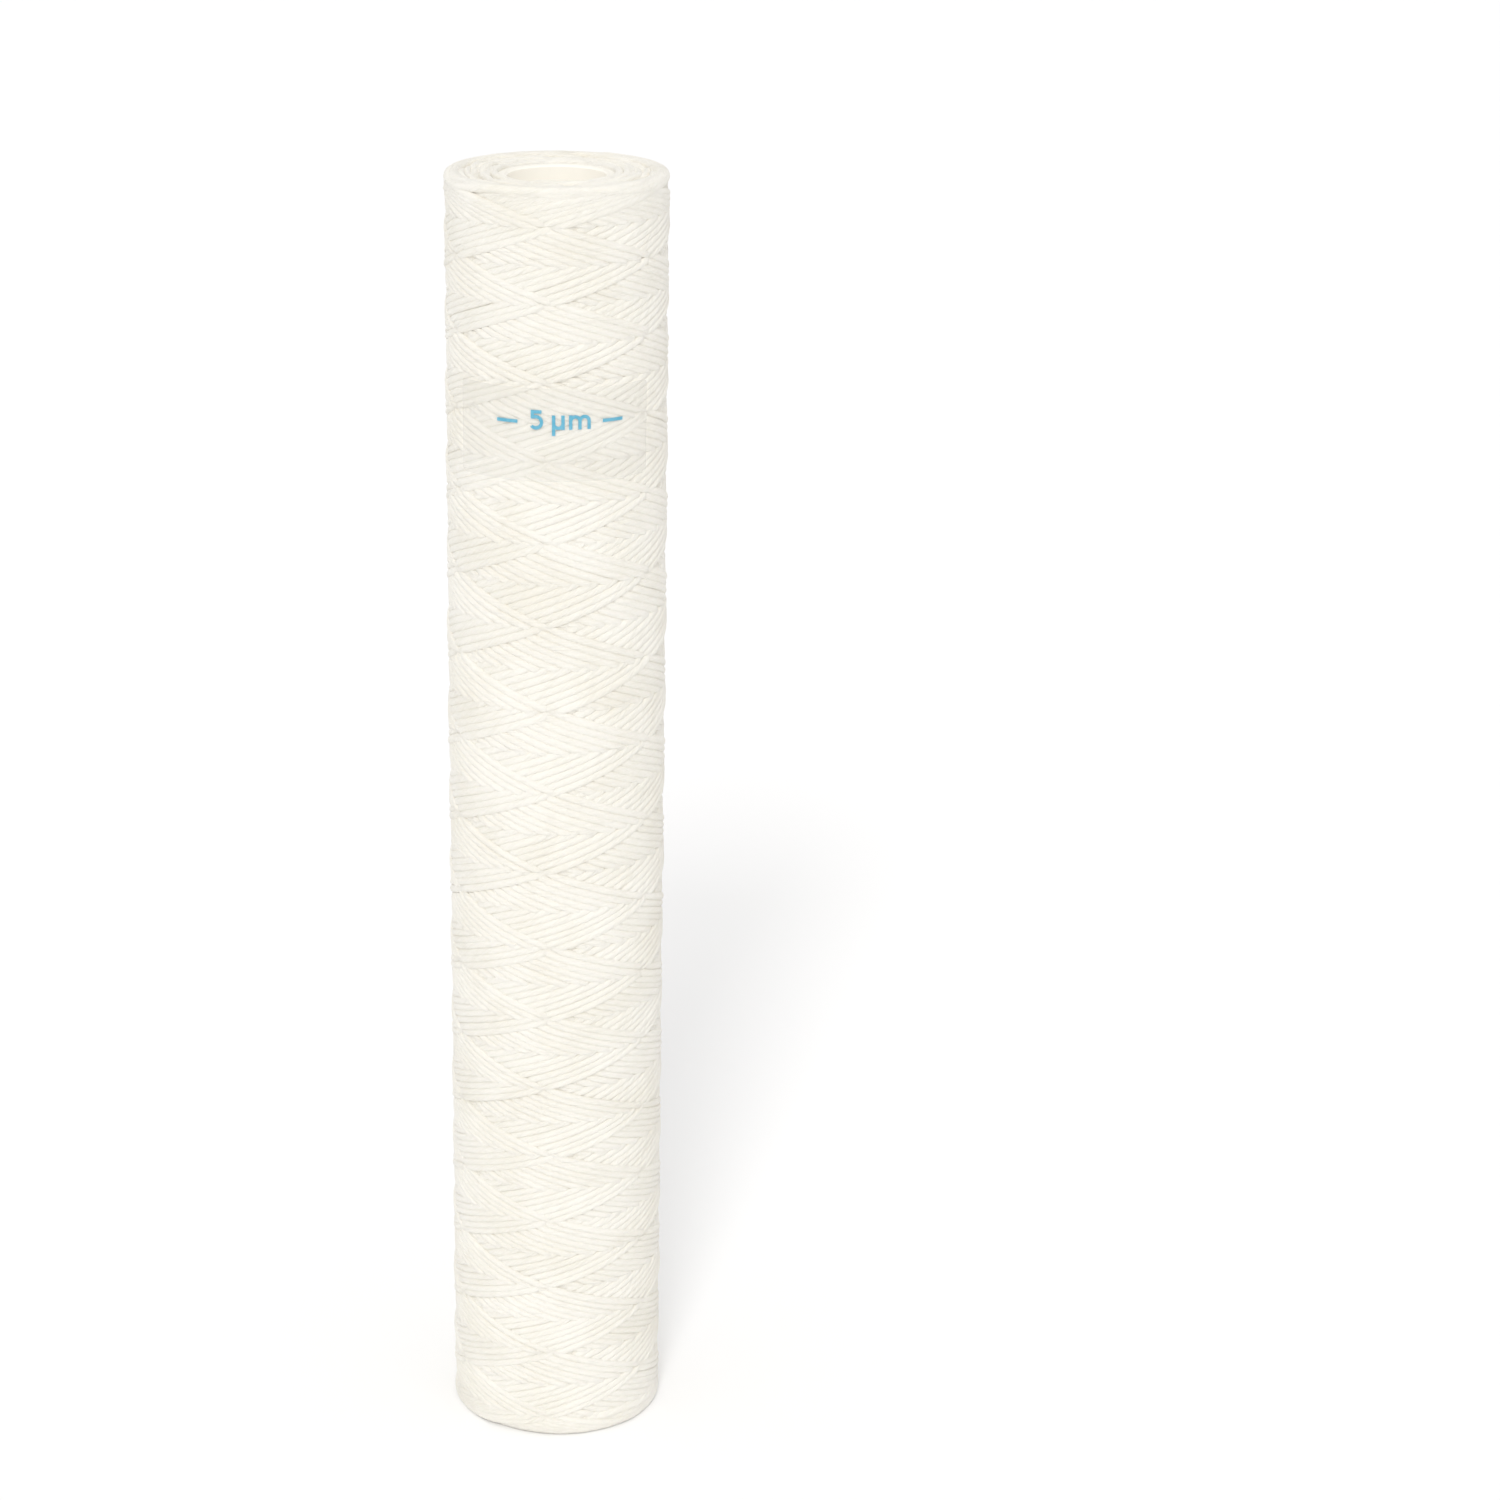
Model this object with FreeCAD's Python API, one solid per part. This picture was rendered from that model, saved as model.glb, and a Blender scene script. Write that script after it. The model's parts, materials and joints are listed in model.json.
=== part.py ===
import FreeCAD, Part
import math
import os

# String-wound sediment cartridge, open at both ends.
# Millimetres. +Z runs up the cartridge; the origin is the centre of the bottom end face.
# The printed label faces -Y.

# ---- driving dimensions ----
cartridge_length = 381.0      # 15 in, over the yarn end faces
cartridge_diameter = 63.5     # 2.5 in class
bore_diameter = 28.0          # double-open-end bore that the housing's spigots enter
core_diameter = 32.0
core_recess = 1.5             # each core end stands this far inside the yarn end face
sleeve_gap = 0.05             # radial clearance between neighbouring sleeves

# core: two moulded cage tubes, spigot and socket
mouth_chamfer = 0.6           # lead-in at both bore mouths
collar_length = 15.0          # plain wall at each open end, the seat for a housing's spigot
cage_relief = 0.3             # between the end collars the wall is this much thinner inside
joint_collar_length = 14.0    # plain wall each side of the joint
spigot_length = 8.0
spigot_wall = 0.8
socket_end_gap = 0.5          # room past the spigot's nose
slot_width = 8.0              # round-ended slot, around the tube
slot_height = 5.0
slot_row_pitch = 8.6
slots_per_row = 8

# nonwoven cover between the core and the first yarn
core_wrap_thickness = 0.4

# winding: one yarn laid in three graded layers, coarse outside
winding_layers = 3
top_shoulder_radius = 3.0     # outer edge of the top end face
bottom_shoulder_radius = 2.0  # outer edge of the bottom end face
mouth_radius = 1.0            # inner edge of the end faces

# last length of yarn, laid round the bottom shoulder and pressed into the winding
tail_width = 2.6
tail_height = 0.8
tail_z = 4.6
tail_start_deg = -70.0
tail_sweep_deg = 52.0
tail_corner = 0.3
tail_clearance = 0.04

# label: clear film with a printed rating
label_centre_z = 312.3
label_centre_deg = -2.0       # from -Y towards +X
label_height = 26.6
label_sweep_deg = 108.5
label_corner = 1.5
label_pocket_depth = 0.22
film_thickness = 0.12
film_clearance = 0.04
ink_thickness = 0.05
ink_clearance = 0.01

# rating mark "5 µm" between two rules
mark_centre_deg = 1.8         # from -Y towards +X
baseline_z = 313.9
stroke = 0.95
digit_height = 5.5
letter_height = 4.1
descender = 1.7
letter_arch_radius = 1.3
rule_length = 6.3
mark_gap = 2.4                # space between neighbouring signs
word_gap = 3.6                # space between the number and the unit

# ---- derived ----
outer_r = cartridge_diameter / 2.0
bore_r = bore_diameter / 2.0
core_r = core_diameter / 2.0
cage_r_in = bore_r + cage_relief
core_bottom = core_recess
core_top = cartridge_length - core_recess
joint_z = cartridge_length / 2.0
wrap_r_in = core_r + sleeve_gap
wrap_r_out = wrap_r_in + core_wrap_thickness
winding_r_in = wrap_r_out + sleeve_gap
layer_thickness = (outer_r - winding_r_in - (winding_layers - 1) * sleeve_gap) / winding_layers
film_r_in = outer_r - label_pocket_depth + film_clearance
film_r_out = film_r_in + film_thickness
ink_r_in = film_r_out + ink_clearance
ink_r_out = ink_r_in + ink_thickness

up = FreeCAD.Vector(0, 0, 1)
centre = FreeCAD.Vector(0, 0, 0)


def tube(r_in, r_out, z_low, z_high):
    """A plain sleeve about the Z axis."""
    base = FreeCAD.Vector(0, 0, z_low)
    outside = Part.makeCylinder(r_out, z_high - z_low, base, up)
    return outside.cut(Part.makeCylinder(r_in, z_high - z_low, base, up))


def sector(r_in, r_out, z_low, z_high, start_deg, sweep_deg):
    """A piece of a sleeve between two angles, counted from +X."""
    corners = [(r_in, z_low), (r_out, z_low), (r_out, z_high), (r_in, z_high)]
    points = [FreeCAD.Vector(r, 0, z) for r, z in corners]
    solid = Part.Face(Part.makePolygon(points + points[:1])).revolve(centre, up, sweep_deg)
    solid.rotate(centre, up, start_deg)
    return solid


def slot_prism(angle_deg, z):
    """A round-ended bar through the whole core; it cuts one slot on each side."""
    half = slot_width / 2.0 - slot_height / 2.0
    r = slot_height / 2.0
    reach = core_r + 1.0
    low_left = FreeCAD.Vector(-reach, -half, -r)
    low_right = FreeCAD.Vector(-reach, half, -r)
    high_right = FreeCAD.Vector(-reach, half, r)
    high_left = FreeCAD.Vector(-reach, -half, r)
    edges = [
        Part.LineSegment(low_left, low_right).toShape(),
        Part.Arc(low_right, FreeCAD.Vector(-reach, half + r, 0), high_right).toShape(),
        Part.LineSegment(high_right, high_left).toShape(),
        Part.Arc(high_left, FreeCAD.Vector(-reach, -half - r, 0), low_left).toShape(),
    ]
    bar = Part.Face(Part.Wire(edges)).extrude(FreeCAD.Vector(2 * reach, 0, 0))
    bar.rotate(centre, up, angle_deg)
    bar.translate(FreeCAD.Vector(0, 0, z))
    return bar


def slot_rows(z_low, z_high):
    """Bars for every row of slots that fits between two heights, staggered row by row."""
    rows = int((z_high - z_low - slot_height) / slot_row_pitch) + 1
    first = (z_low + z_high - (rows - 1) * slot_row_pitch) / 2.0
    step = 360.0 / slots_per_row
    bars = []
    for row in range(rows):
        turn = step / 2.0 if row % 2 else 0.0
        for bar in range(slots_per_row // 2):
            bars.append(slot_prism(bar * step + turn, first + row * slot_row_pitch))
    return bars


def mouth_cone(z, outward):
    """The lead-in chamfer's waste at a bore mouth; outward is +1 at the top, -1 at the bottom."""
    r_wide = bore_r + mouth_chamfer
    base = FreeCAD.Vector(0, 0, z - outward * mouth_chamfer)
    return Part.makeCone(bore_r, r_wide, mouth_chamfer, base, FreeCAD.Vector(0, 0, outward))


def make_core_lower_section():
    collar_top = core_bottom + collar_length
    body = tube(bore_r, core_r, core_bottom, collar_top)
    cage = tube(cage_r_in, core_r, collar_top, joint_z)
    spigot = tube(cage_r_in, cage_r_in + spigot_wall, joint_z, joint_z + spigot_length)
    body = body.multiFuse([cage, spigot]).removeSplitter()
    slots = slot_rows(core_bottom + collar_length, joint_z - joint_collar_length)
    return body.cut(slots + [mouth_cone(core_bottom, -1)])


def make_core_upper_section():
    collar_bottom = core_top - collar_length
    body = tube(cage_r_in, core_r, joint_z, collar_bottom)
    body = body.fuse(tube(bore_r, core_r, collar_bottom, core_top)).removeSplitter()
    socket_r = cage_r_in + spigot_wall + sleeve_gap
    socket_depth = spigot_length + socket_end_gap
    socket = Part.makeCylinder(socket_r, socket_depth, FreeCAD.Vector(0, 0, joint_z), up)
    slots = slot_rows(joint_z + joint_collar_length, core_top - collar_length)
    return body.cut(slots + [socket, mouth_cone(core_top, 1)])


def make_core_wrap():
    return tube(wrap_r_in, wrap_r_out, core_bottom, core_top)


def round_ring_edge(ring, radius, z, edge_radius):
    """Round one circular edge of a ring, found by its radius and height."""
    edges = []
    for edge in ring.Edges:
        curve = edge.Curve
        if isinstance(curve, Part.Circle) and abs(curve.Radius - radius) + abs(curve.Center.z - z) < 1e-6:
            edges.append(edge)
    return ring.makeFillet(edge_radius, edges)


def make_winding_layer(index):
    r_in = winding_r_in + index * (layer_thickness + sleeve_gap)
    r_out = r_in + layer_thickness
    ring = tube(r_in, r_out, 0.0, cartridge_length)
    if index == 0:
        ring = round_ring_edge(ring, r_in, 0.0, mouth_radius)
        ring = round_ring_edge(ring, r_in, cartridge_length, mouth_radius)
    if index == winding_layers - 1:
        ring = round_ring_edge(ring, r_out, 0.0, bottom_shoulder_radius)
        ring = round_ring_edge(ring, r_out, cartridge_length, top_shoulder_radius)
        ring = ring.cut([tail_shape(tail_clearance), label_pocket()])
    return ring


def tail_shape(extra):
    """A flattened length of yarn with rounded corners, bent round the cartridge."""
    r_low = outer_r - tail_height - extra
    r_high = outer_r + (extra if extra else -0.02)
    half = tail_width / 2.0 + extra
    strip = sector(r_low, r_high, tail_z - half, tail_z + half, tail_start_deg, tail_sweep_deg)
    if extra:
        return strip
    long_edges = []
    for edge in strip.Edges:
        if isinstance(edge.Curve, Part.Circle):
            long_edges.append(edge)
    return strip.makeFillet(tail_corner, long_edges)


def make_yarn_tail():
    return tail_shape(0.0)


def label_patch(r_in, r_out, grow):
    """A curved rectangle with round corners, on the -Y side."""
    sweep = label_sweep_deg + 2.0 * math.degrees(grow / outer_r)
    half = label_height / 2.0 + grow
    start = label_centre_deg - 90.0 - sweep / 2.0
    patch = sector(r_in, r_out, label_centre_z - half, label_centre_z + half, start, sweep)
    corners = []
    for edge in patch.Edges:
        if isinstance(edge.Curve, Part.Line) and edge.Length < (r_out - r_in) * 1.01:
            corners.append(edge)
    return patch.makeFillet(label_corner + grow, corners)


def label_pocket():
    return label_patch(outer_r - label_pocket_depth, outer_r + 0.5, film_clearance)


def make_label_film():
    return label_patch(film_r_in, film_r_out, 0.0)


# ---- printed rating: strokes drawn flat in (across, up), then bent on to the film ----

def stroke_between(start, end):
    """A straight stroke with square ends."""
    dx = end[0] - start[0]
    dy = end[1] - start[1]
    length = math.hypot(dx, dy)
    nx = -dy / length * stroke / 2.0
    ny = dx / length * stroke / 2.0
    corners = [
        (start[0] + nx, start[1] + ny),
        (end[0] + nx, end[1] + ny),
        (end[0] - nx, end[1] - ny),
        (start[0] - nx, start[1] - ny),
    ]
    points = [FreeCAD.Vector(x, 0, z) for x, z in corners]
    return Part.Face(Part.makePolygon(points + points[:1]))


def stroke_arc(middle, radius, start_deg, end_deg):
    """A stroke along an arc, anticlockwise from start to end."""
    def at(r, deg):
        a = math.radians(deg)
        return FreeCAD.Vector(middle[0] + r * math.cos(a), 0, middle[1] + r * math.sin(a))

    r_low = radius - stroke / 2.0
    r_high = radius + stroke / 2.0
    half_way = (start_deg + end_deg) / 2.0
    edges = [
        Part.Arc(at(r_low, start_deg), at(r_low, half_way), at(r_low, end_deg)).toShape(),
        Part.LineSegment(at(r_low, end_deg), at(r_high, end_deg)).toShape(),
        Part.Arc(at(r_high, end_deg), at(r_high, half_way), at(r_high, start_deg)).toShape(),
        Part.LineSegment(at(r_high, start_deg), at(r_low, start_deg)).toShape(),
    ]
    return Part.Face(Part.Wire(edges))


def digit_five():
    """(width, strokes); the baseline is at 0 and the sign starts at 0."""
    bowl_r = digit_height * 0.29
    bowl = (bowl_r + 0.1, bowl_r + stroke / 2.0)
    top = digit_height - stroke / 2.0
    left = 0.75
    shoulder = bowl[1] + bowl_r
    strokes = [
        stroke_arc(bowl, bowl_r, -140.0, 120.0),
        stroke_between((left, shoulder - 0.55), (left, digit_height)),
        stroke_between((left - stroke / 2.0, top), (2.0 * bowl_r + 0.1, top)),
    ]
    return 2.0 * bowl_r + 0.6, strokes


def letter_mu():
    r = letter_arch_radius
    left = stroke / 2.0
    right = left + 2.0 * r
    strokes = [
        stroke_between((left, -descender), (left, letter_height)),
        stroke_arc((left + r, r + stroke / 2.0), r, 180.0, 360.0),
        stroke_between((right, 0.0), (right, letter_height)),
    ]
    return right + stroke / 2.0, strokes


def letter_m():
    r = letter_arch_radius
    strokes = []
    for leg in range(3):
        x = stroke / 2.0 + leg * 2.0 * r
        top = letter_height if leg == 0 else letter_height - r - stroke / 2.0
        strokes.append(stroke_between((x, 0.0), (x, top)))
        if leg:
            strokes.append(stroke_arc((x - r, letter_height - r - stroke / 2.0), r, 0.0, 180.0))
    return 4.0 * r + stroke, strokes


def rule():
    mid = letter_height / 2.0
    return rule_length, [stroke_between((0.0, mid), (rule_length, mid))]


def ink_shell():
    half = label_height / 2.0
    return tube(ink_r_in, ink_r_out, label_centre_z - half, label_centre_z + half)


def make_label_print():
    signs = [rule(), digit_five(), letter_mu(), letter_m(), rule()]
    gaps = [word_gap, mark_gap, mark_gap / 2.0, word_gap]
    width = sum(sign[0] for sign in signs) + sum(gaps)
    across = -width / 2.0
    shell = ink_shell()
    solids = []
    for index, (sign_width, strokes) in enumerate(signs):
        flat = strokes[0]
        if len(strokes) > 1:
            flat = strokes[0].multiFuse(strokes[1:]).removeSplitter()
        # each sign is drawn about its own middle and turned to face outwards there
        turn = mark_centre_deg + math.degrees((across + sign_width / 2.0) / outer_r)
        block = flat.extrude(FreeCAD.Vector(0, outer_r, 0))
        block.translate(FreeCAD.Vector(-sign_width / 2.0, -outer_r - 1.0, baseline_z))
        block.rotate(centre, up, turn)
        solids.extend(block.common(shell).Solids)
        across += sign_width
        if index < len(gaps):
            across += gaps[index]
    return Part.makeCompound(solids)


def main():
    os.makedirs("parts", exist_ok=True)
    nodes = {
        "core_lower_section": make_core_lower_section(),
        "core_upper_section": make_core_upper_section(),
        "core_wrap": make_core_wrap(),
        "winding_inner": make_winding_layer(0),
        "winding_middle": make_winding_layer(1),
        "winding_outer": make_winding_layer(2),
        "yarn_tail": make_yarn_tail(),
        "label_film": make_label_film(),
        "label_print": make_label_print(),
    }
    for name, shape in nodes.items():
        solids = len(shape.Solids)
        print(f"{name}: {solids} solid(s), {shape.Volume:.1f} mm3, valid {shape.isValid()}")
        shape.exportStep(f"parts/{name}.step")


main()
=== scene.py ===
import json
import math
import bpy
import numpy as np
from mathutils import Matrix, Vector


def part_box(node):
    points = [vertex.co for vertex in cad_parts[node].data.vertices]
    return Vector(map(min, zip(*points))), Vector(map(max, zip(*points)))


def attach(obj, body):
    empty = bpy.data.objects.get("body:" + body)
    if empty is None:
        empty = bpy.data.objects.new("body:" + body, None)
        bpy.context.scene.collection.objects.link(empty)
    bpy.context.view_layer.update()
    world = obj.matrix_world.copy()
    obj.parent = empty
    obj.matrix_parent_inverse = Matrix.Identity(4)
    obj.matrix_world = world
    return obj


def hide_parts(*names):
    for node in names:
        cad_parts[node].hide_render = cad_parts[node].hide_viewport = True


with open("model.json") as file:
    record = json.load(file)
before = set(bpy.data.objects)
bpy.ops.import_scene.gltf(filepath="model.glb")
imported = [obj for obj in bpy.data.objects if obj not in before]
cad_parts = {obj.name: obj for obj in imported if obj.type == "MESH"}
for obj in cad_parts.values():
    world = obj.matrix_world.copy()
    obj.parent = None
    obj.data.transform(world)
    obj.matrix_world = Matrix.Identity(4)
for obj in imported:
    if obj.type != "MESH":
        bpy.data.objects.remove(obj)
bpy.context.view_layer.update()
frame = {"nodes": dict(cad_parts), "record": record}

# String-wound filter cartridge, standing on its lower end. Metres, +Z up the bore, label towards -Y.

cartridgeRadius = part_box("winding_outer")[1].x
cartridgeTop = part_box("winding_outer")[1].z
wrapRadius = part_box("core_wrap")[1].x
boreRadius = frame["record"]["mounts"][0]["dims"]["r_mm"] / 1000
print("frame loaded:", len(frame["nodes"]), "nodes, radius", round(cartridgeRadius, 5))


def newMaterial(name, finish):
    # A material with a finish's plain values; patterns are added to its tree.
    mat = bpy.data.materials.new(name)
    mat.use_nodes = True
    shader = mat.node_tree.nodes["Principled BSDF"]
    shader.inputs["Base Color"].default_value = (*finish["colour"], 1)
    shader.inputs["Roughness"].default_value = finish["roughness"]
    shader.inputs["Specular IOR Level"].default_value = finish["specular"]
    return mat, mat.node_tree, shader


camera = {
    "lens": 88.7,
    "sensorWidth": 36,
    "sideShift": 0.1288,  # leaves more room on the cartridge's right
    "distance": 1.0271,   # from the bore axis
    "height": 0.5599,
    "downDegrees": 18.83,
    "clipEnd": 50,
}


def addCamera():
    data = bpy.data.cameras.new("camera")
    data.lens = camera["lens"]
    data.sensor_width = camera["sensorWidth"]
    data.shift_x = camera["sideShift"]
    data.clip_end = camera["clipEnd"]
    obj = bpy.data.objects.new("camera", data)
    obj.location = (0, -camera["distance"], camera["height"])
    obj.rotation_euler = (math.radians(90 - camera["downDegrees"]), 0, 0)
    bpy.context.scene.collection.objects.link(obj)
    bpy.context.scene.camera = obj


surround = {
    "domeColour": (1, 0.995, 0.985, 1),
    "horizonStrength": 0.46,
    "zenithStrength": 1.03,
    "backdropColour": (1, 1, 1, 1),  # what the camera sees behind the floor
}


def addSurround():
    # A soft dome that lights everything, brighter overhead than at the sides.
    world = bpy.data.worlds.new("softSurround")
    world.use_nodes = True
    nodes, links = world.node_tree.nodes, world.node_tree.links
    dome = nodes["Background"]
    dome.inputs["Color"].default_value = surround["domeColour"]
    backdrop = nodes.new("ShaderNodeBackground")
    backdrop.inputs["Color"].default_value = surround["backdropColour"]
    direction = nodes.new("ShaderNodeTexCoord")
    upwards = nodes.new("ShaderNodeSeparateXYZ")
    links.new(direction.outputs["Generated"], upwards.inputs[0])
    strength = nodes.new("ShaderNodeMapRange")
    strength.inputs["To Min"].default_value = surround["horizonStrength"]
    strength.inputs["To Max"].default_value = surround["zenithStrength"]
    links.new(upwards.outputs["Z"], strength.inputs["Value"])
    links.new(strength.outputs["Result"], dome.inputs["Strength"])
    path = nodes.new("ShaderNodeLightPath")
    mix = nodes.new("ShaderNodeMixShader")
    links.new(path.outputs["Is Camera Ray"], mix.inputs["Fac"])
    links.new(dome.outputs[0], mix.inputs[1])
    links.new(backdrop.outputs[0], mix.inputs[2])
    links.new(mix.outputs[0], nodes["World Output"].inputs["Surface"])
    bpy.context.scene.world = world


paleFloor = {
    "size": 40.0,
    "colour": (0.99, 0.99, 0.995),
    "roughness": 0.9,
    "specular": 0.1,
}


def addFloor():
    half = paleFloor["size"] / 2
    corners = [(-half, -half, 0), (half, -half, 0), (half, half, 0), (-half, half, 0)]
    mesh = bpy.data.meshes.new("floor")
    mesh.from_pydata(corners, [], [(0, 1, 2, 3)])
    paint, _, _ = newMaterial("paleFloor", paleFloor)
    mesh.materials.append(paint)
    floor = bpy.data.objects.new("floor", mesh)
    bpy.context.scene.collection.objects.link(floor)


keyLight = {
    "strength": 1.00,
    "softness": 12.0,  # degrees across
    "comesFrom": (-0.13, -0.86, 0.68),  # the front, high up and a little to the left
}


def addKeyLight():
    data = bpy.data.lights.new("keyLight", "SUN")
    data.energy = keyLight["strength"]
    data.angle = math.radians(keyLight["softness"])
    obj = bpy.data.objects.new("keyLight", data)
    x, y, z = keyLight["comesFrom"]
    obj.rotation_euler = (math.atan2(math.hypot(x, y), z), 0, math.atan2(x, -y))
    bpy.context.scene.collection.objects.link(obj)


addCamera()
addSurround()
addFloor()
addKeyLight()
bpy.context.scene.view_settings.view_transform = "Standard"
print("camera, floor and lights ready")


def objectPlace(tree):
    return tree.nodes.new("ShaderNodeTexCoord").outputs["Object"]


def addNoise(tree, vector, noise):
    # Noise on a vector output; a stretch scales the vector's axes first.
    if "stretch" in noise:
        mapping = tree.nodes.new("ShaderNodeMapping")
        mapping.inputs["Scale"].default_value = noise["stretch"]
        tree.links.new(vector, mapping.inputs["Vector"])
        vector = mapping.outputs["Vector"]
    texture = tree.nodes.new("ShaderNodeTexNoise")
    texture.inputs["Scale"].default_value = noise["scale"]
    texture.inputs["Detail"].default_value = noise["detail"]
    texture.inputs["Roughness"].default_value = noise["roughness"]
    tree.links.new(vector, texture.inputs["Vector"])
    return texture.outputs["Fac"]


def addRamp(tree, value, finish):
    # From a finish's second colour to its main one, over a span of the value.
    ramp = tree.nodes.new("ShaderNodeValToRGB")
    colours = (finish["secondColour"], finish["colour"])
    for element, place, colour in zip(ramp.color_ramp.elements, finish["span"], colours):
        element.position = place
        element.color = (*colour, 1)
    tree.links.new(value, ramp.inputs["Fac"])
    return ramp.outputs["Color"]


def addBump(tree, shader, height, relief, before=None):
    bump = tree.nodes.new("ShaderNodeBump")
    bump.inputs["Strength"].default_value = relief["strength"]
    bump.inputs["Distance"].default_value = relief["depth"]
    tree.links.new(height, bump.inputs["Height"])
    if before:
        tree.links.new(before, bump.inputs["Normal"])
    tree.links.new(bump.outputs["Normal"], shader.inputs["Normal"])
    return bump.outputs["Normal"]


def makePatchyMaterial(name, finish):
    # Patches of two colours, with a fine relief to match.
    mat, tree, shader = newMaterial(name, finish)
    patches = addNoise(tree, objectPlace(tree), finish["patches"])
    tint = addRamp(tree, patches, finish)
    tree.links.new(tint, shader.inputs["Base Color"])
    addBump(tree, shader, patches, finish["relief"])
    return mat


# The yarn's fibres and plies lie on the strand's own coordinates: millimetres along it,
# and from -1 to 1 across it, so a stretch is (along, across, across).
yarnFinish = {
    "colour": (0.97, 0.94, 0.868),
    "secondColour": (0.905, 0.87, 0.78),
    "span": (0.36, 0.56),
    "roughness": 0.82,
    "specular": 0.2,
    "sheen": 0.25,
    "sheenRoughness": 0.5,
    "softness": 0.12,  # light that passes into the loose fibres
    "softDepth": 0.0006,
    "softTint": (1, 0.95, 0.85),
    "fibres": {"scale": 1.0, "detail": 4.0, "roughness": 0.6, "stretch": (0.20, 3.2, 3.2)},
    "fibreRelief": {"strength": 0.7, "depth": 0.00045},
    "plies": {"scale": 1.0, "detail": 1.0, "roughness": 0.5, "stretch": (0.05, 1.3, 1.3)},
    "plyRelief": {"strength": 0.8, "depth": 0.00040},
    "clouds": {"scale": 45.0, "detail": 2.0, "roughness": 0.55},
}


def makeYarnMaterial():
    mat, tree, shader = newMaterial("spunYarn", yarnFinish)
    shader.inputs["Sheen Weight"].default_value = yarnFinish["sheen"]
    shader.inputs["Sheen Roughness"].default_value = yarnFinish["sheenRoughness"]
    shader.inputs["Subsurface Weight"].default_value = yarnFinish["softness"]
    shader.inputs["Subsurface Scale"].default_value = yarnFinish["softDepth"]
    shader.inputs["Subsurface Radius"].default_value = yarnFinish["softTint"]
    strand = tree.nodes.new("ShaderNodeAttribute")
    strand.attribute_name = "fibreCoord"
    fibres = addNoise(tree, strand.outputs["Vector"], yarnFinish["fibres"])
    plies = addNoise(tree, strand.outputs["Vector"], yarnFinish["plies"])
    clouds = addNoise(tree, objectPlace(tree), yarnFinish["clouds"])
    mottle = tree.nodes.new("ShaderNodeMix")  # half fibres, half clouds
    tree.links.new(fibres, mottle.inputs["A"])
    tree.links.new(clouds, mottle.inputs["B"])
    tint = addRamp(tree, mottle.outputs["Result"], yarnFinish)
    tree.links.new(tint, shader.inputs["Base Color"])
    plied = addBump(tree, shader, plies, yarnFinish["plyRelief"])
    addBump(tree, shader, fibres, yarnFinish["fibreRelief"], plied)
    return mat


coreFinish = {
    "colour": (0.93, 0.905, 0.845),
    "secondColour": (0.90, 0.875, 0.81),
    "span": (0.3, 0.7),
    "roughness": 0.42,
    "specular": 0.4,
    "flow": {"scale": 30.0, "detail": 3.0, "roughness": 0.5, "stretch": (1, 1, 0.3)},  # left by moulding
    "grain": {"scale": 2500.0, "detail": 2.0, "roughness": 0.55},
    "relief": {"strength": 0.25, "depth": 0.00005},
    # painted shade: the core's end face gets a darker colour than the rest of the core
    "endShadeColour": (0.83, 0.805, 0.74),
    "endShadeFrom": 0.0001,  # outside the bore's radius, where the painted shade on the end face begins
    "endShadeTo": 0.0007,
    "paintedLightColour": (0.93, 0.90, 0.83, 1),  # painted light: the core emits a little light, standing in for light bounced round the bore
    "paintedLightStrength": 0.12,
}


def makeCoreMaterial():
    mat, tree, shader = newMaterial("mouldedCore", coreFinish)
    # painted light: an emission makes the core glow, though it is no lamp
    shader.inputs["Emission Color"].default_value = coreFinish["paintedLightColour"]
    shader.inputs["Emission Strength"].default_value = coreFinish["paintedLightStrength"]
    place = objectPlace(tree)
    flow = addNoise(tree, place, coreFinish["flow"])
    tint = addRamp(tree, flow, coreFinish)
    flat = tree.nodes.new("ShaderNodeVectorMath")
    flat.operation = "MULTIPLY"
    flat.inputs[1].default_value = (1, 1, 0)
    tree.links.new(place, flat.inputs[0])
    radius = tree.nodes.new("ShaderNodeVectorMath")
    radius.operation = "LENGTH"
    tree.links.new(flat.outputs["Vector"], radius.inputs[0])
    # painted shade: the core is darkened outside the bore's radius, over its end faces
    edge = tree.nodes.new("ShaderNodeMapRange")
    edge.inputs["From Min"].default_value = boreRadius + coreFinish["endShadeFrom"]
    edge.inputs["From Max"].default_value = boreRadius + coreFinish["endShadeTo"]
    tree.links.new(radius.outputs["Value"], edge.inputs["Value"])
    endShadeMix = tree.nodes.new("ShaderNodeMix")
    endShadeMix.data_type = "RGBA"
    endShadeMix.inputs["B"].default_value = (*coreFinish["endShadeColour"], 1)
    tree.links.new(edge.outputs["Result"], endShadeMix.inputs["Factor"])
    tree.links.new(tint, endShadeMix.inputs["A"])
    tree.links.new(endShadeMix.outputs["Result"], shader.inputs["Base Color"])
    grain = addNoise(tree, place, coreFinish["grain"])
    addBump(tree, shader, grain, coreFinish["relief"])
    return mat


scrimFinish = {
    "colour": (0.94, 0.92, 0.87),
    "secondColour": (0.85, 0.82, 0.75),
    "span": (0.35, 0.65),
    "roughness": 0.9,
    "specular": 0.1,
    "patches": {"scale": 1400.0, "detail": 4.0, "roughness": 0.7},
    "relief": {"strength": 0.5, "depth": 0.0001},
}

inkFinish = {
    "colour": (0.12, 0.43, 0.60),
    "secondColour": (0.20, 0.52, 0.68),
    "span": (0.3, 0.65),
    "roughness": 0.55,
    "specular": 0.3,
    "patches": {"scale": 900.0, "detail": 3.0, "roughness": 0.6},
    "relief": {"strength": 0.2, "depth": 0.00003},
}

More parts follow.
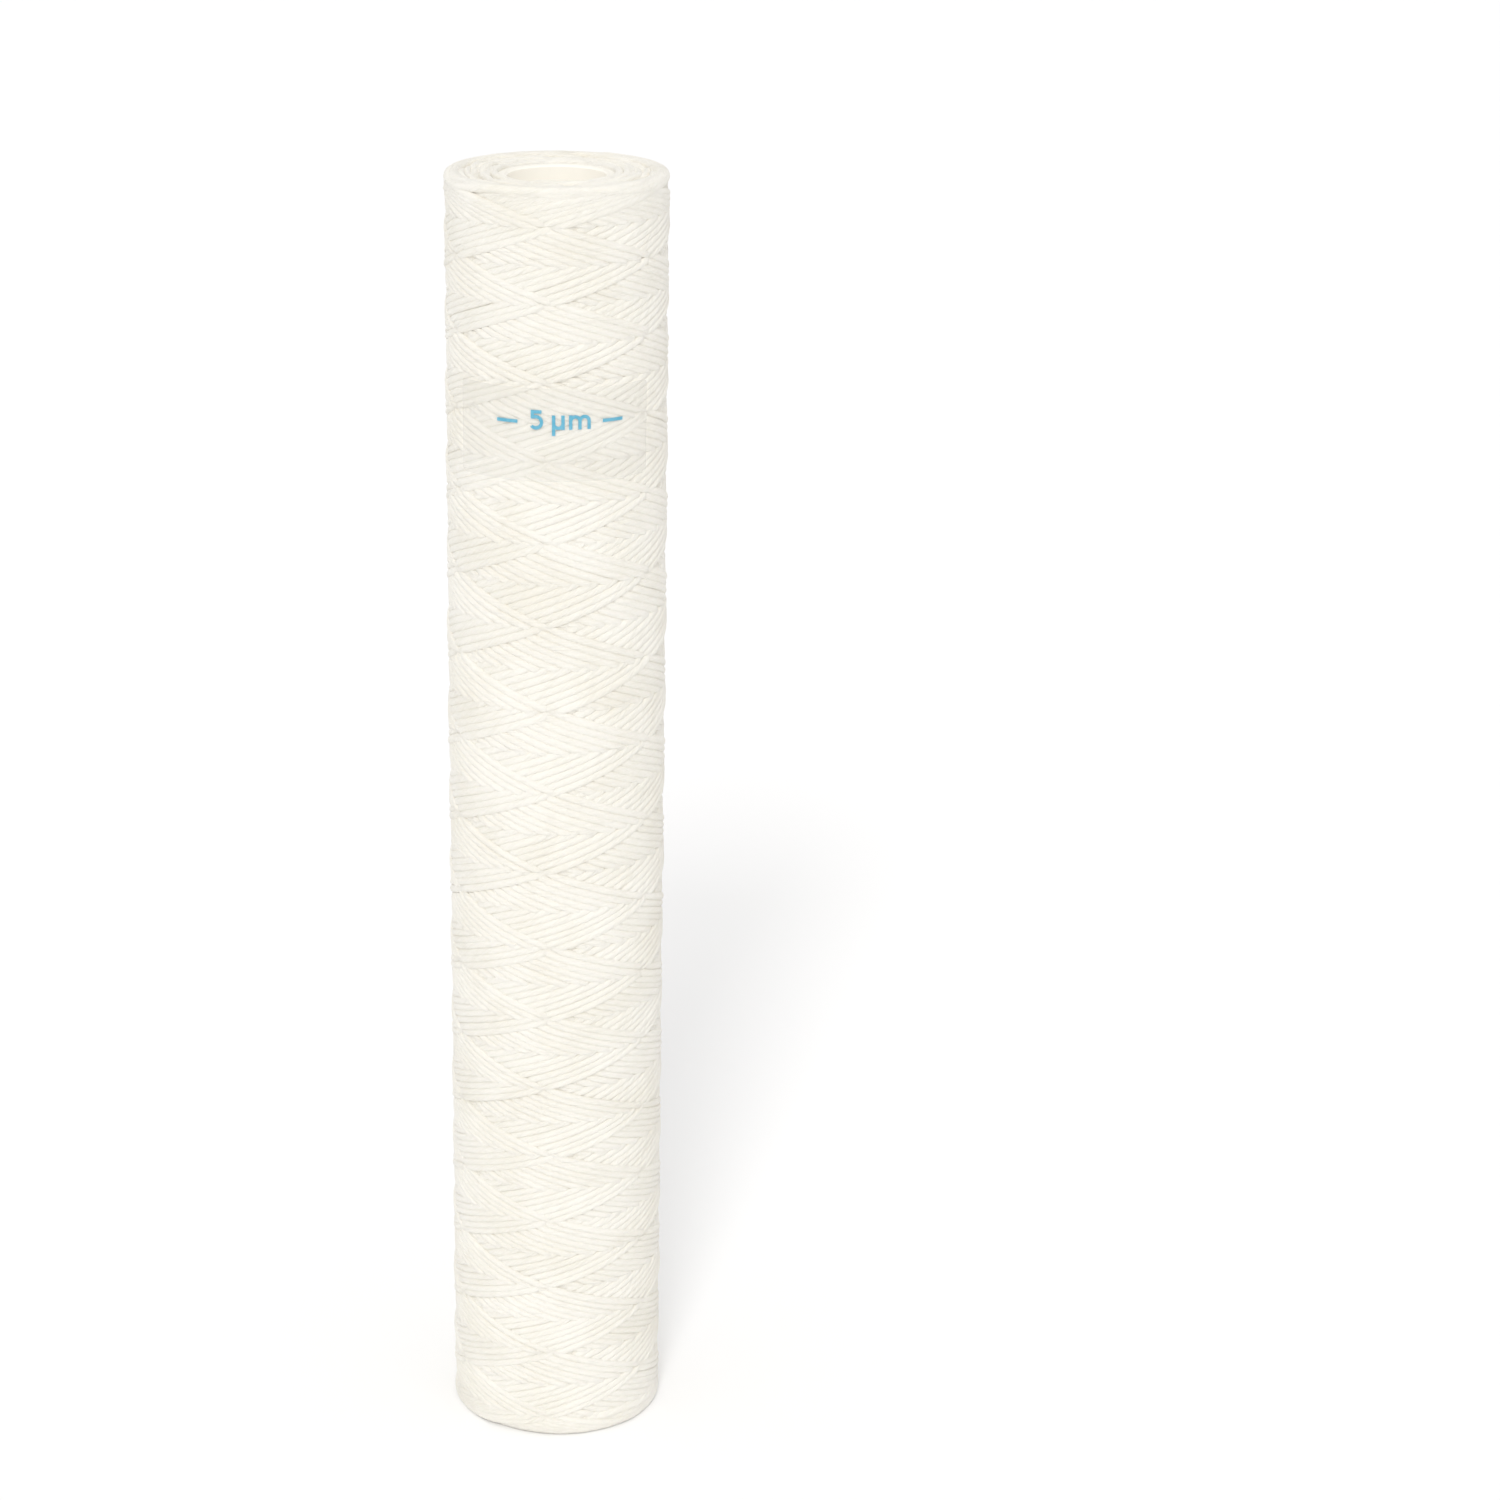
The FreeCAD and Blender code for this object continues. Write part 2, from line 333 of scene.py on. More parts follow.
filmFinish = {
    "colour": (0.89, 0.885, 0.86),
    "roughness": 0.5,
    "specular": 0.25,
    "alpha": 0.1,
    "ripple": {"scale": 130.0, "detail": 2.0, "roughness": 0.5},
    "relief": {"strength": 0.3, "depth": 0.0002},
}


def makeFilmMaterial():
    mat, tree, shader = newMaterial("clearFilm", filmFinish)
    shader.inputs["Alpha"].default_value = filmFinish["alpha"]
    ripple = addNoise(tree, objectPlace(tree), filmFinish["ripple"])
    addBump(tree, shader, ripple, filmFinish["relief"])
    return mat


yarnMaterial = makeYarnMaterial()

strandShape = {
    "sides": 12,
    "width": 0.00240,    # of one strand, pressed flat
    "height": 0.00200,
    "squareness": 0.98,  # under 1 makes the section fuller than an ellipse
    "twistPerMm": 0.35,  # radians
    "lump": 0.0002,      # uneven surface of the spun yarn
    "lumpScale": 1.1,    # per millimetre along the strand and per half width across it
    "lumpDetail": 1.0,
    "lumpSeed": 3.0,
}

halfStrand = strandShape["height"] / 2  # from a strand's middle to its outer side


def makeStrandTree():
    # Turns edges with a normal, a scale and a length along the strand into a flattened yarn.
    tree = bpy.data.node_groups.new("yarnStrand", "GeometryNodeTree")
    face = tree.interface
    face.new_socket("Geometry", in_out="INPUT", socket_type="NodeSocketGeometry")
    face.new_socket("Sides", in_out="INPUT", socket_type="NodeSocketInt")
    for name in ("Width", "Height", "Squareness", "Twist", "Lump", "Lump Scale", "Seed"):
        face.new_socket(name, in_out="INPUT", socket_type="NodeSocketFloat")
    face.new_socket("Yarn", in_out="INPUT", socket_type="NodeSocketMaterial")
    face.new_socket("Geometry", in_out="OUTPUT", socket_type="NodeSocketGeometry")
    nodes, link = tree.nodes, tree.links.new
    given = nodes.new("NodeGroupInput")
    result = nodes.new("NodeGroupOutput")

    def named(name, kind="FLOAT"):
        node = nodes.new("GeometryNodeInputNamedAttribute")
        node.data_type = kind
        node.inputs["Name"].default_value = name
        return node.outputs["Attribute"]

    def maths(operation, a, b):
        node = nodes.new("ShaderNodeMath")
        node.operation = operation
        for socket, value in zip(node.inputs, (a, b)):
            if isinstance(value, (int, float)):
                socket.default_value = value
            elif value is not None:
                link(value, socket)
        return node.outputs[0]

    # the flattened section, with its sine and cosine kept for the fibres
    ring = nodes.new("GeometryNodeCurvePrimitiveCircle")
    link(given.outputs["Sides"], ring.inputs["Resolution"])
    ring.inputs["Radius"].default_value = 1.0
    spot = nodes.new("GeometryNodeInputPosition")
    split = nodes.new("ShaderNodeSeparateXYZ")
    link(spot.outputs[0], split.inputs[0])
    keepRound = nodes.new("GeometryNodeStoreNamedAttribute")
    keepRound.data_type = "FLOAT_VECTOR"
    keepRound.inputs["Name"].default_value = "roundSection"
    link(ring.outputs["Curve"], keepRound.inputs["Geometry"])
    link(spot.outputs[0], keepRound.inputs["Value"])

    def fuller(value, size):
        # a power under 1 of a sine or cosine fills the section out
        swollen = maths("POWER", maths("ABSOLUTE", value, None), given.outputs["Squareness"])
        signed = maths("MULTIPLY", swollen, maths("SIGN", value, None))
        return maths("MULTIPLY", signed, maths("MULTIPLY", size, 0.5))

    shaped = nodes.new("ShaderNodeCombineXYZ")
    link(fuller(split.outputs[0], given.outputs["Height"]), shaped.inputs[0])
    link(fuller(split.outputs[1], given.outputs["Width"]), shaped.inputs[1])
    section = nodes.new("GeometryNodeSetPosition")
    link(keepRound.outputs[0], section.inputs["Geometry"])
    link(shaped.outputs[0], section.inputs["Position"])

    # the path
    curve = nodes.new("GeometryNodeMeshToCurve")
    link(given.outputs["Geometry"], curve.inputs[0])
    facing = nodes.new("GeometryNodeSetCurveNormal")
    facing.mode = "FREE"
    link(curve.outputs[0], facing.inputs["Curve"])
    link(named("strandNormal", "FLOAT_VECTOR"), facing.inputs["Normal"])
    tube = nodes.new("GeometryNodeCurveToMesh")
    link(facing.outputs[0], tube.inputs["Curve"])
    link(section.outputs[0], tube.inputs["Profile Curve"])
    link(named("strandScale"), tube.inputs["Scale"])
    tube.inputs["Fill Caps"].default_value = True

    # fibre coordinates: along the strand, and across it with the twist
    around = nodes.new("ShaderNodeSeparateXYZ")
    link(named("roundSection", "FLOAT_VECTOR"), around.inputs[0])
    plain = nodes.new("ShaderNodeCombineXYZ")
    link(named("strandLength"), plain.inputs[0])
    link(around.outputs[0], plain.inputs[1])
    link(around.outputs[1], plain.inputs[2])
    twisted = nodes.new("ShaderNodeVectorRotate")
    twisted.rotation_type = "X_AXIS"
    link(plain.outputs[0], twisted.inputs["Vector"])
    link(maths("MULTIPLY", named("strandLength"), given.outputs["Twist"]), twisted.inputs["Angle"])
    keepFibre = nodes.new("GeometryNodeStoreNamedAttribute")
    keepFibre.data_type = "FLOAT_VECTOR"
    keepFibre.inputs["Name"].default_value = "fibreCoord"
    link(tube.outputs[0], keepFibre.inputs["Geometry"])
    link(twisted.outputs[0], keepFibre.inputs["Value"])

    # uneven surface
    lumps = nodes.new("ShaderNodeTexNoise")
    lumps.noise_dimensions = "4D"
    lumps.inputs["Detail"].default_value = strandShape["lumpDetail"]
    link(given.outputs["Lump Scale"], lumps.inputs["Scale"])
    link(given.outputs["Seed"], lumps.inputs["W"])
    link(named("fibreCoord", "FLOAT_VECTOR"), lumps.inputs["Vector"])
    centred = maths("MULTIPLY", maths("SUBTRACT", lumps.outputs["Fac"], 0.5), given.outputs["Lump"])
    scaled = nodes.new("ShaderNodeVectorMath")
    scaled.operation = "SCALE"
    link(nodes.new("GeometryNodeInputNormal").outputs[0], scaled.inputs[0])
    link(centred, scaled.inputs["Scale"])
    bumpy = nodes.new("GeometryNodeSetPosition")
    link(keepFibre.outputs[0], bumpy.inputs["Geometry"])
    link(scaled.outputs[0], bumpy.inputs["Offset"])

    soft = nodes.new("GeometryNodeSetShadeSmooth")
    link(bumpy.outputs[0], soft.inputs["Geometry"])
    whole = nodes.new("GeometryNodeRealizeInstances")
    link(soft.outputs[0], whole.inputs[0])
    coat = nodes.new("GeometryNodeSetMaterial")
    link(whole.outputs[0], coat.inputs["Geometry"])
    link(given.outputs["Yarn"], coat.inputs["Material"])
    link(coat.outputs[0], result.inputs[0])
    return tree


strandTree = makeStrandTree()
print("yarn material and strand tree ready")


def setInputs(modifier, values):
    for item in modifier.node_group.interface.items_tree:
        if item.in_out == "INPUT" and item.name in values:
            modifier[item.identifier] = values[item.name]


def applied(obj, name):
    # The evaluated object as a plain mesh in a new object; the old one goes.
    graph = bpy.context.evaluated_depsgraph_get()
    mesh = bpy.data.meshes.new_from_object(obj.evaluated_get(graph), depsgraph=graph)
    mesh.name = name
    for spare in ("strandNormal", "strandScale", "strandLength", "roundSection"):
        if spare in mesh.attributes:
            mesh.attributes.remove(mesh.attributes[spare])
    bpy.data.objects.remove(obj)
    plain = bpy.data.objects.new(name, mesh)
    bpy.context.scene.collection.objects.link(plain)
    return plain


def pathMesh(name, paths):
    # Loose edges along each path, with the strand's normal, scale and length on their points.
    points, normals, scales, lengths = (np.concatenate(column) for column in zip(*paths))
    ends = np.cumsum([len(path[0]) for path in paths]) - 1
    starts = np.delete(np.arange(len(points)), ends)  # no edge leads on from the end of a path
    edges = np.stack([starts, starts + 1], 1)
    mesh = bpy.data.meshes.new(name)
    mesh.vertices.add(len(points))
    mesh.vertices.foreach_set("co", points.astype(np.float32).ravel())
    mesh.edges.add(len(edges))
    mesh.edges.foreach_set("vertices", edges.astype(np.int32).ravel())
    facing = mesh.attributes.new("strandNormal", "FLOAT_VECTOR", "POINT")
    facing.data.foreach_set("vector", normals.astype(np.float32).ravel())
    for title, values in (("strandScale", scales), ("strandLength", lengths)):
        layer = mesh.attributes.new(title, "FLOAT", "POINT")
        layer.data.foreach_set("value", values.astype(np.float32))
    return mesh


def layStrands(name, paths, sides):
    # Yarn along each path; a path is (points, normals, scales, lengths).
    obj = bpy.data.objects.new(name + "Path", pathMesh(name + "Path", paths))
    bpy.context.scene.collection.objects.link(obj)
    modifier = obj.modifiers.new("yarn", "NODES")
    modifier.node_group = strandTree
    values = {
        "Sides": sides,
        "Width": strandShape["width"],
        "Height": strandShape["height"],
        "Squareness": strandShape["squareness"],
        "Twist": strandShape["twistPerMm"],
        "Lump": strandShape["lump"],
        "Lump Scale": strandShape["lumpScale"],
        "Seed": strandShape["lumpSeed"],
        "Yarn": yarnMaterial,
    }
    setInputs(modifier, values)
    return applied(obj, name)


# Node: where the newest strands cross. Diamond: from one node to the next above it.
winding = {
    "starts": 3,              # bands of strands round the cartridge
    "strandsPerStart": 11,
    "olderPasses": 2,         # of the layer below, which show in the gaps of this one
    "olderLevel": 0.5,        # their place between crossed over, 0, and on top, 1
    "crossings": 16,          # diamonds between the lowest and the highest node
    "lowestNode": 0.0062,
    "highestNode": cartridgeTop - 0.0109,
    "leadWaves": (0.010, -0.008, -0.005),  # the diamonds' slow change in height, as 1, 2 and 3 half waves
    "nodeDegrees": 2.5,       # the nodes' place round the cartridge, from the label's side
    "upAge": 0.25,            # of a pass, when its stroke up is laid
    "downAge": 0.75,
    "turnCut": 0.0015,        # the least that a stroke's turn is rounded off
    "shingleRise": 0.00068,   # the newest strand of a band stands this much above the oldest
    "crossingDrop": 0.00100,  # a strand lies this much lower where another crosses over it
    "riseEarly": 0.10,        # of a diamond; a strand starts to rise while newer ones still hide it
    "riseOver": 0.13,
    "diveOver": 0.08,
    "pitchScatter": 0.00006,  # from stroke to stroke
    "wander": (22, 0.00008),
    "endWander": (60, 0.00012),
    "lift": (14, 0.00006),    # uneven height of a strand above the core
    "tilt": 0.10,             # radians that a strand leans on the one before it
    "tiltDrift": (16, 0.10),
    "scaleScatter": 0.03,     # from stroke to stroke
    "scaleDrift": (18, 0.035),
    "leastScale": 0.96,
    "mostScale": 1.12,
    "softTop": 0.08,          # the strands are thicker at the top than at the bottom
    "pressedTop": 0.16,       # and swell into each other where they turn at the top
    "pressedWithin": 0.010,   # of the top
    "topShoulder": 0.0030,    # height of the outline's round edge
    "bottomShoulder": 0.0020,
    "shoulderLimit": 0.97,    # sine of the most that a normal turns up or down there
    "endBand": 0.008,         # where the strokes turn, the later one lies on top
    "straightFrom": 0.020,    # the strokes' scatter fades within this distance of an end
    "stepAlong": 0.0018,
    "pieces": 8,
    "seed": 41,
}

passes = winding["starts"] * winding["strandsPerStart"]  # strokes up, and as many down
nodeSpan = winding["highestNode"] - winding["lowestNode"]
cellHeight = nodeSpan / winding["crossings"]
nodeAngle = math.radians(winding["nodeDegrees"])
cellAngle = 2 * math.pi / winding["starts"]
tableMargin = 0.02  # past both ends of the cartridge
tableSteps = 2001
heightTable = np.linspace(-tableMargin, cartridgeTop + tableMargin, tableSteps)


def cellsAt(z):
    # How many diamonds lie between the lowest node and a height.
    share = (winding["highestNode"] - z) / nodeSpan
    waves = 0
    for index, size in enumerate(winding["leadWaves"]):
        waves = waves + size * np.sin((index + 1) * np.pi * share)
    return winding["crossings"] * (1 - share + waves)


cellTable = cellsAt(heightTable)


def heightAt(cells):
    return np.interp(cells, cellTable, heightTable)


def pitchRatio(z):
    # The diamonds' height at a place, against their average.
    return np.interp(z, heightTable, np.gradient(heightTable, cellTable)) / cellHeight


def smoothStep(x):
    x = np.clip(x, 0, 1)
    return x * x * (3 - 2 * x)


def drift(rng, count, spacing, size):
    # Smooth random change about zero, with a knot every few samples. Dictionaries hold (spacing, size).
    knots = rng.normal(0, size, count // spacing + 3)
    place = np.arange(count) / spacing
    left = place.astype(int)
    share = smoothStep(place - left)
    return knots[left] * (1 - share) + knots[left + 1] * share


def shoulderOf(z):
    # How far the outline has turned in at a height, and how far its normal has turned up.
    top, bottom = winding["topShoulder"], winding["bottomShoulder"]
    over = np.clip((z - (cartridgeTop - top)) / top, 0, winding["shoulderLimit"])
    under = np.clip((bottom - z) / bottom, 0, winding["shoulderLimit"])
    inset = top * (1 - np.sqrt(1 - over ** 2)) + bottom * (1 - np.sqrt(1 - under ** 2))
    return inset, np.arcsin(over) - np.arcsin(under)


def onCartridge(angle, radius, z):
    return np.stack([radius * np.sin(angle), -radius * np.cos(angle), z], 1)


def leaning(angle, lean):
    # Unit normals that face outwards and lean up by an angle.
    return np.stack([np.sin(angle) * np.cos(lean), -np.cos(angle) * np.cos(lean), np.sin(lean)], 1)


def lengthsAlong(points):
    # Millimetres from the first point of a path to each of its points.
    steps = np.linalg.norm(np.diff(points, axis=0), axis=1)
    return np.concatenate([[0], np.cumsum(steps)]) * 1000


def uprightReach(scales, lean):
    # How far a strand's surface reaches above and below its middle.
    upright = np.hypot(strandShape["height"] * np.sin(lean), strandShape["width"] * np.cos(lean))
    return (scales * upright + strandShape["lump"]) / 2


def strokes(rng):
    # The yarn guide's travel up and down while the cartridge turns, with a short rounded turn at each end.
    spare = 1 / (2 * passes)  # at each end, which moves every pass on by one strand
    topMeet = (math.floor(2 * cellsAt(cartridgeTop)) + 1 + spare) / 2
    bottomMeet = (math.floor(2 * cellsAt(0)) - spare) / 2
    period = 2 * (topMeet - bottomMeet)  # of one pass up and down, in diamonds
    older = winding["olderPasses"]
    count = int(period * (passes + older) * cellAngle * cartridgeRadius / winding["stepAlong"])
    travel = np.linspace(-period * older, period * passes, count, endpoint=False)  # in diamonds too
    stroke = np.mod(travel, period)
    number = np.floor(travel / period)
    goingUp = stroke < period / 2
    z = heightAt(np.where(goingUp, bottomMeet + stroke, topMeet - (stroke - period / 2)))
    topCut = max(heightAt(topMeet) - (cartridgeTop - halfStrand), winding["turnCut"])
    bottomCut = max(halfStrand - heightAt(bottomMeet), winding["turnCut"])
    nearTop = np.abs(stroke - period / 2)
    nearBottom = np.minimum(stroke, period - stroke)
    for near, cut in ((nearTop, -topCut), (nearBottom, bottomCut)):  # the guide turns round smoothly
        z = z + cut * np.clip(1 - cellHeight * near / (2 * abs(cut)), 0, 1) ** 2
    side = (2 * (number + older) + ~goingUp).astype(int)  # counts single strokes
    scatter = rng.normal(0, winding["pitchScatter"], side[-1] + 1)
    straight = smoothStep(np.minimum(z, cartridgeTop - z) / winding["straightFrom"])
    z = z + straight * (scatter[side] + drift(rng, count, *winding["wander"]))
    z = z + (1 - straight) * drift(rng, count, *winding["endWander"])
    place = bottomMeet + winding["upAge"] / passes + travel
    return z, place, number, goingUp, side


def overAndUnder(z, place, age, goingUp):
    # 1 where a strand lies over those it crosses, 0 where newer ones lie over it.
    other = np.mod(np.where(goingUp, place + cellsAt(z), place - cellsAt(z)), 1)
    rising = smoothStep(np.mod(other + winding["riseEarly"], 1) / winding["riseOver"])
    diving = 1 - smoothStep((other - age) / winding["diveOver"])
    onTop = np.where(other > 1 - winding["riseEarly"], rising, np.minimum(rising, diving))
    onTop = np.where(age < 0, winding["olderLevel"], onTop)
    atEnd = 1 - smoothStep(np.minimum(z, cartridgeTop - z) / winding["endBand"])
    return onTop * (1 - atEnd) + atEnd * age, atEnd


def windingPath():
    # The top layer of the winding as one unbroken strand, after the last passes of the layer below.
    rng = np.random.default_rng(winding["seed"])
    z, place, number, goingUp, side = strokes(rng)
    count = len(z)
    age = (number + np.where(goingUp, winding["upAge"], winding["downAge"])) / passes  # 0 oldest, 1 newest
    onTop, atEnd = overAndUnder(z, place, age, goingUp)
    inset, lean = shoulderOf(z)
    tilt = np.where(goingUp, 1, -1) * winding["tilt"] + drift(rng, count, *winding["tiltDrift"])
    lean = lean + tilt * (1 - atEnd)
    scales = 1 + drift(rng, count, *winding["scaleDrift"])
    scales = scales + rng.normal(0, winding["scaleScatter"], side[-1] + 1)[side]
    scales = np.clip(scales, winding["leastScale"], winding["mostScale"]) * pitchRatio(z)
    scales = scales * (1 + winding["softTop"] * (z / cartridgeTop - 0.5))
    pressed = smoothStep(1 - (cartridgeTop - z) / winding["pressedWithin"])
    scales = scales * (1 + winding["pressedTop"] * pressed)
    reach = uprightReach(scales, lean)
    z = np.clip(z, reach, cartridgeTop - reach)
    angle = nodeAngle + place * cellAngle
    radius = cartridgeRadius - halfStrand - winding["shingleRise"] * (1 - age)
    radius = radius - winding["crossingDrop"] * (1 - onTop) - inset
    radius = radius + drift(rng, count, *winding["lift"])
    radius = pressUnderFilm(angle, radius, z)
    points = onCartridge(angle, radius, z)
    return points, leaning(angle, lean), scales, lengthsAlong(points)


filmLow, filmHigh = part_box("label_film")

underFilm = {
    "thickness": 0.00012,
    "edge": 0.002,       # the strands rise back over this distance round the film
    "clearance": 1.06,   # in half strands, from the film's inner side down to a strand's middle
}


def pressUnderFilm(angle, radius, z):
    # The label's film holds the strands below it a little lower.
    filmRadius = -filmLow.y - underFilm["thickness"]
    left = math.asin(filmLow.x / filmRadius) * cartridgeRadius
    right = math.asin(filmHigh.x / filmRadius) * cartridgeRadius
    across = (np.mod(angle + math.pi, 2 * math.pi) - math.pi) * cartridgeRadius
    inside = 1
    for distance in (across - left, right - across, z - filmLow.z, filmHigh.z - z):
        inside = inside * smoothStep((distance + underFilm["edge"]) / underFilm["edge"])
    limit = filmRadius - halfStrand * underFilm["clearance"]
    return radius - inside * np.maximum(radius - limit, 0)


def addYarn():
    points, normals, scales, lengths = windingPath()
    cuts = np.linspace(0, len(points) - 1, winding["pieces"] + 1).astype(int)
    made = []
    for index in range(winding["pieces"]):
        part = slice(cuts[index], cuts[index + 1] + 1)
        path = (points[part], normals[part], scales[part], lengths[part])
        made.append(layStrands(f"yarnStretch{index + 1}", [path], strandShape["sides"]))
    faces = sum(len(piece.data.polygons) for piece in made)
    print("yarn:", round(lengths[-1] / 1000, 1), "m,", faces, "faces")
    return made


endTurns = {
    "rings": 7,             # of the inner layers' turns, which show on the end faces
    "innerRadius": 0.0175,
    "outerRadius": 0.0288,
    "outerLimit": 0.0299,
    "turnsPerRing": 17,
    "placeScatter": 0.3,    # of the space from turn to turn
    "ringShift": 0.37,      # of that space, from ring to ring
    "sweepDegrees": 47.0,   # of a turn in the outer ring
    "sweepScatter": 9.0,
    "radiusScatter": 0.0005,
    "radiusDrift": (6, 0.0002),
    "slant": 0.0009,        # a turn comes out of the winding and goes back in further out
    "slantScatter": 0.0018,
    "innerStray": 0.3,      # the turns round the bore lie more evenly
    "depth": 0.0001,        # of the highest turns' surface below the end face
    "depthScatter": 0.00060,
    "overlap": 0.0005,      # height from a ring's lowest turn to its highest
    "dive": 0.0034,         # how deep a turn's ends go into the winding
    "outerLean": 35.0,      # degrees that the outer ring's turns face outwards
    "bendLean": 0.5,        # radians that a turn's ends lean further outwards
    "leanScatter": 0.15,
    "scaleScatter": 0.08,
    "scaleDrift": (7, 0.05),
    "leastScale": 0.75,
    "mostScale": 1.2,
    "lengthShift": 900,     # millimetres, so that no two turns show the same fibres
    "points": 22,
    "sides": 10,
    "seed": 7,
}


def endTurn(rng, crest, middle, order, top):
    # One turn: a short arc that rises out of the end face and dives back into it.
    outwards = (crest - endTurns["innerRadius"]) / (endTurns["outerRadius"] - endTurns["innerRadius"])
    stray = 1 if outwards > 0 else endTurns["innerStray"]
    sweep = math.radians(endTurns["sweepDegrees"] + rng.normal(0, endTurns["sweepScatter"]))
    u = np.linspace(-1, 1, endTurns["points"])
    angle = middle + u * sweep / 2 * endTurns["outerRadius"] / crest
    offset = rng.normal(0, endTurns["radiusScatter"])
    radius = crest + stray * (offset + u * rng.normal(endTurns["slant"], endTurns["slantScatter"]))
    radius = radius + drift(rng, len(u), *endTurns["radiusDrift"])
    radius = np.clip(radius, endTurns["innerRadius"], endTurns["outerLimit"])
    depth = halfStrand + endTurns["depth"] + abs(rng.normal(0, endTurns["depthScatter"]))
    depth = depth + endTurns["overlap"] * order + endTurns["dive"] * np.abs(u) ** 3
    lean = math.radians(90 - endTurns["outerLean"] * outwards) - endTurns["bendLean"] * u ** 2
    lean = lean + rng.normal(0, endTurns["leanScatter"])
    scales = 1 + rng.normal(0, endTurns["scaleScatter"]) + drift(rng, len(u), *endTurns["scaleDrift"])
    scales = np.clip(scales, endTurns["leastScale"], endTurns["mostScale"])
    depth = np.maximum(depth, uprightReach(scales, lean))
    if not top:
        lean = -lean
    points = onCartridge(angle, radius, cartridgeTop - depth if top else depth)
    lengths = lengthsAlong(points) + rng.uniform(0, endTurns["lengthShift"])
    return points, leaning(angle, lean), scales, lengths


def endTurnPaths(top):
    rng = np.random.default_rng(endTurns["seed"] + (0 if top else 1))
    count = endTurns["turnsPerRing"]
    scatter = endTurns["placeScatter"]
    paths = []
    crests = np.linspace(endTurns["innerRadius"], endTurns["outerRadius"], endTurns["rings"])
    for ring, crest in enumerate(crests):
        for turn, order in enumerate(rng.permutation(count) / count):
            place = turn + rng.uniform(-scatter, scatter) + ring * endTurns["ringShift"]
            paths.append(endTurn(rng, crest, 2 * math.pi * place / count, order, top))
    return paths


def addEndTurns():
    made = []
    for name, top in (("endTurnsTop", True), ("endTurnsBottom", False)):
        made.append(layStrands(name, endTurnPaths(top), endTurns["sides"]))
    print("end turns:", sum(len(piece.data.polygons) for piece in made), "faces")
    return made


underWinding = {
    "outerGap": 0.0013,   # below the cartridge's outside
    "endGap": 0.0015,     # below the end faces
    "innerGap": 0.00012,  # outside the core's wrap
    "round": 0.0012,      # radius of the outer corners
    "cornerPoints": 4,
    "steps": 96,          # round the cartridge
    "rowHeight": 0.0024,
    "ridge": 0.00022,     # every other row lies this much lower
}

underFinish = {
    "colour": (0.91, 0.88, 0.81),
    "secondColour": (0.82, 0.79, 0.71),
    "span": (0.3, 0.7),
    "roughness": 0.9,
    "specular": 0.1,
    "patches": {"scale": 900.0, "detail": 4.0, "roughness": 0.65},
    "relief": {"strength": 0.6, "depth": 0.0002},
}


def underOutline():
    # Half the section, as (radius, height), up the outside and back to the bottom of the inside.
    outer = cartridgeRadius - underWinding["outerGap"]
    inner = wrapRadius + underWinding["innerGap"]
    bottom = underWinding["endGap"]
    top = cartridgeTop - underWinding["endGap"]
    bend = underWinding["round"]
    rows = int((top - bottom - 2 * bend) / underWinding["rowHeight"])
    corner = np.linspace(0, math.pi / 2, underWinding["cornerPoints"])
    outline = [(outer - bend + bend * math.sin(a), bottom + bend - bend * math.cos(a)) for a in corner]
    for row, z in enumerate(np.linspace(bottom + bend, top - bend, rows)[1:-1]):
        outline.append((outer - underWinding["ridge"] * (row % 2), z))
    outline += [(outer - bend + bend * math.cos(a), top - bend + bend * math.sin(a)) for a in corner]
    return outline + [(inner, top), (inner, bottom)]


def addUnderWinding():
    # A turned ring with shallow ridges, which closes every gap between strands.
    outline = underOutline()
    steps = underWinding["steps"]
    angles = np.arange(steps) * 2 * math.pi / steps
    verts = np.vstack([onCartridge(angles, r, np.full(steps, z)) for r, z in outline])
    faces = []
    for row in range(len(outline)):
        after = (row + 1) % len(outline)
        for step in range(steps):
            beside = (step + 1) % steps
            lower, upper = row * steps, after * steps
            faces.append((lower + step, lower + beside, upper + beside, upper + step))
    mesh = bpy.data.meshes.new("underWinding")
    mesh.from_pydata(verts.tolist(), [], faces)
    mesh.polygons.foreach_set("use_smooth", [True] * len(faces))
    mesh.materials.append(makePatchyMaterial("woundBody", underFinish))
    obj = bpy.data.objects.new("underWinding", mesh)
    bpy.context.scene.collection.objects.link(obj)
    print("body under the yarn:", len(faces), "faces")
    return obj


